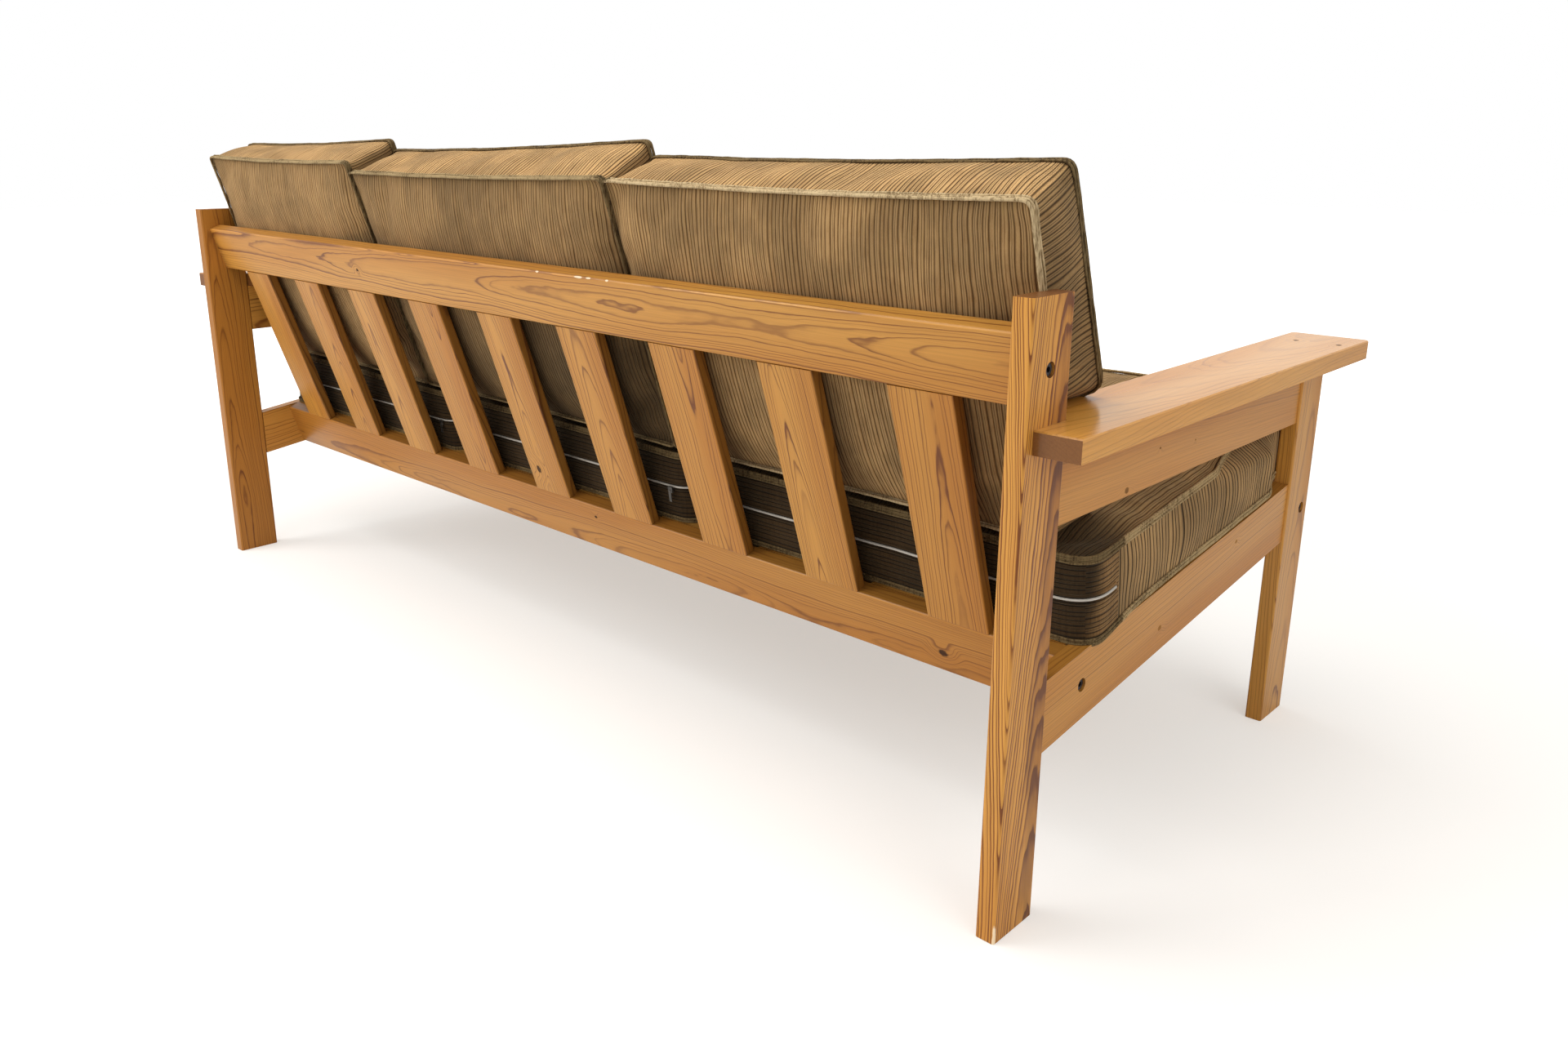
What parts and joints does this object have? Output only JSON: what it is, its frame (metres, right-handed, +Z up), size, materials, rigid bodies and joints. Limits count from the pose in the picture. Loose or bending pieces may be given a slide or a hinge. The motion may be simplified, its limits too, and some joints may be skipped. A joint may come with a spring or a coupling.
{
  "type": "three-seat sofa",
  "caption": "Slatted pine sofa with board armrests, knock-down bolted rails and loose boxed corduroy cushions with piping.",
  "frame": {"origin": "on the floor under the middle of the sofa", "axes": "+X along the length towards the right-hand armrest as seen from the front, +Y towards the back, +Z up"},
  "size_m": [1.986, 0.803, 0.8154],
  "materials": {
    "pine_end_frame": "satin lacquer, honey-orange pine with red-brown latewood",
    "pine_long_rail": "satin lacquer, cathedral grain",
    "pine_slat": "satin lacquer",
    "pine_deck": "bare planed pine",
    "beech_dowel": "fluted beech dowel",
    "zinc_steel": "zinc plated",
    "corduroy": "olive-brown irregular wide-wale corduroy",
    "foam": "cut upholstery foam",
    "zip_tape": "woven off-white zip tape with nylon coil",
    "zip_metal": "plated zip slider"
  },
  "bodies": {
    "frame": {"rear_post_left": "pine_end_frame", "front_leg_left": "pine_end_frame", "lower_side_rail_left": "pine_end_frame", "upper_side_rail_left": "pine_end_frame", "armrest_left": "pine_end_frame", "rear_post_right": "pine_end_frame", "front_leg_right": "pine_end_frame", "lower_side_rail_right": "pine_end_frame", "upper_side_rail_right": "pine_end_frame", "armrest_right": "pine_end_frame", "top_back_rail": "pine_long_rail", "bottom_back_rail": "pine_long_rail", "front_seat_rail": "pine_long_rail", "back_slat_1": "pine_slat", "back_slat_2": "pine_slat", "back_slat_3": "pine_slat", "back_slat_4": "pine_slat", "back_slat_5": "pine_slat", "back_slat_6": "pine_slat", "back_slat_7": "pine_slat", "back_slat_8": "pine_slat", "back_slat_9": "pine_slat", "seat_ledger_rear": "pine_deck", "seat_ledger_front": "pine_deck", "seat_slat_1": "pine_deck", "seat_slat_2": "pine_deck", "seat_slat_3": "pine_deck", "seat_slat_4": "pine_deck", "seat_slat_5": "pine_deck", "seat_slat_6": "pine_deck", "seat_slat_7": "pine_deck", "seat_slat_8": "pine_deck", "seat_slat_9": "pine_deck", "frame_bolts": "zinc_steel", "barrel_nuts": "zinc_steel", "side_frame_dowels": "beech_dowel", "arm_dowels": "beech_dowel", "ledger_screws": "zinc_steel", "seat_slat_screws": "zinc_steel"},
    "seat_cushion_left": {"seat_cushion_cover_left": "corduroy", "seat_cushion_foam_left": "foam", "seat_zip_left": "zip_tape"},
    "zip_slider_left": {"seat_zip_slider_left": "zip_metal"},
    "back_cushion_left": {"back_cushion_cover_left": "corduroy", "back_cushion_foam_left": "foam"},
    "seat_cushion_middle": {"seat_cushion_cover_middle": "corduroy", "seat_cushion_foam_middle": "foam", "seat_zip_middle": "zip_tape"},
    "zip_slider_middle": {"seat_zip_slider_middle": "zip_metal"},
    "back_cushion_middle": {"back_cushion_cover_middle": "corduroy", "back_cushion_foam_middle": "foam"},
    "seat_cushion_right": {"seat_cushion_cover_right": "corduroy", "seat_cushion_foam_right": "foam", "seat_zip_right": "zip_tape"},
    "zip_slider_right": {"seat_zip_slider_right": "zip_metal"},
    "back_cushion_right": {"back_cushion_cover_right": "corduroy", "back_cushion_foam_right": "foam"}
  },
  "joints": [
    {"name": "seat_cushion_left_lift", "type": "slide", "parent": "frame", "child": "seat_cushion_left", "axis": [0, -0.9914, 0.1305], "range_m": [0, 0.66]},
    {"name": "zip_left_slide", "type": "slide", "parent": "seat_cushion_left", "child": "zip_slider_left", "axis": [1, 0, 0], "range_m": [0, 0.53]},
    {"name": "back_cushion_left_lift", "type": "slide", "parent": "frame", "child": "back_cushion_left", "axis": [0, 0.304, 0.9527], "range_m": [0, 0.44]},
    {"name": "seat_cushion_middle_lift", "type": "slide", "parent": "frame", "child": "seat_cushion_middle", "axis": [0, -0.9914, 0.1305], "range_m": [0, 0.66]},
    {"name": "zip_middle_slide", "type": "slide", "parent": "seat_cushion_middle", "child": "zip_slider_middle", "axis": [1, 0, 0], "range_m": [0, 0.53]},
    {"name": "back_cushion_middle_lift", "type": "slide", "parent": "frame", "child": "back_cushion_middle", "axis": [0, 0.304, 0.9527], "range_m": [0, 0.44]},
    {"name": "seat_cushion_right_lift", "type": "slide", "parent": "frame", "child": "seat_cushion_right", "axis": [0, -0.9914, 0.1305], "range_m": [0, 0.66]},
    {"name": "zip_right_slide", "type": "slide", "parent": "seat_cushion_right", "child": "zip_slider_right", "axis": [1, 0, 0], "range_m": [0, 0.53]},
    {"name": "back_cushion_right_lift", "type": "slide", "parent": "frame", "child": "back_cushion_right", "axis": [0, 0.304, 0.9527], "range_m": [0, 0.44]}
  ]
}
